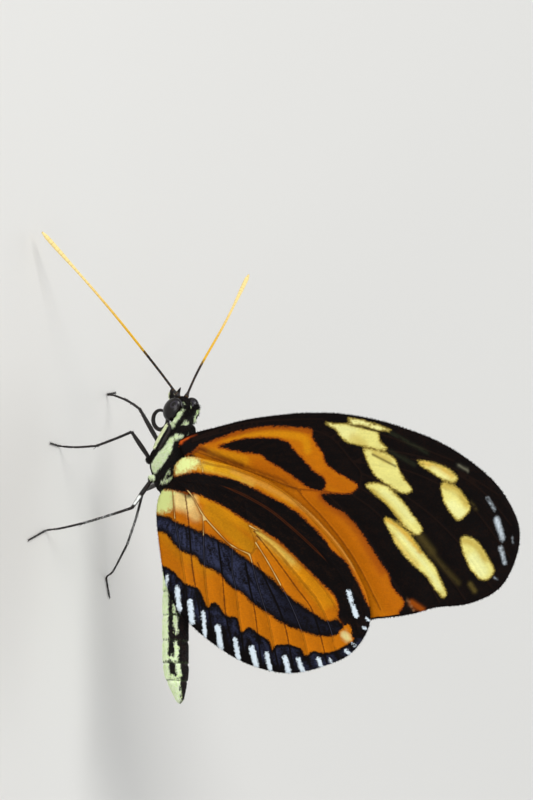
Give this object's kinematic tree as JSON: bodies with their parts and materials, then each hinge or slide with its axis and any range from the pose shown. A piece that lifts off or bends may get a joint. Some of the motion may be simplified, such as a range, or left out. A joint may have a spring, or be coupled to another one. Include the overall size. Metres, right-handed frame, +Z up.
{
  "type": "tiger longwing butterfly",
  "caption": "Life-size model of a tiger-striped longwing butterfly standing with its wings closed over its back.",
  "frame": {"origin": "middle of the underside of the whole animal's box, on the floor it stands on", "axes": "+Z up; the head points towards -X and the animal's left side faces -Y"},
  "size_m": [0.055, 0.0332, 0.0581],
  "materials": {
    "head": "short black hair with cream marks",
    "eye": "glossy, finely faceted",
    "antenna": "fine rings, black at the root and orange-yellow beyond",
    "palp": "bristly black",
    "proboscis": "satin black, ringed",
    "thorax": "black and cream scales with hair",
    "abdomen": "black above, cream lines and patches below",
    "foreleg": "cream and black scales",
    "leg": "black with pale spines",
    "forewing": "orange scales with black and pale yellow patches",
    "hindwing": "orange scales with blue-black bands and pale marginal bars"
  },
  "bodies": {
    "root": {"head": "head", "eye_left": "eye", "eye_right": "eye", "antenna_left": "antenna", "antenna_right": "antenna", "palp_left": "palp", "palp_right": "palp", "proboscis": "proboscis", "thorax": "thorax", "abdomen": "abdomen", "foreleg_left": "foreleg", "foreleg_right": "foreleg", "forewing_left": "forewing", "forewing_right": "forewing", "hindwing_left": "hindwing", "hindwing_right": "hindwing", "mid_leg_left_femur": "leg", "mid_leg_left_tibia": "leg", "mid_leg_left_tarsus": "leg", "hind_leg_left_femur": "leg", "hind_leg_left_tibia": "leg", "hind_leg_left_tarsus": "leg", "mid_leg_right_femur": "leg", "mid_leg_right_tibia": "leg", "mid_leg_right_tarsus": "leg", "hind_leg_right_femur": "leg", "hind_leg_right_tibia": "leg", "hind_leg_right_tarsus": "leg"}
  },
  "joints": []
}
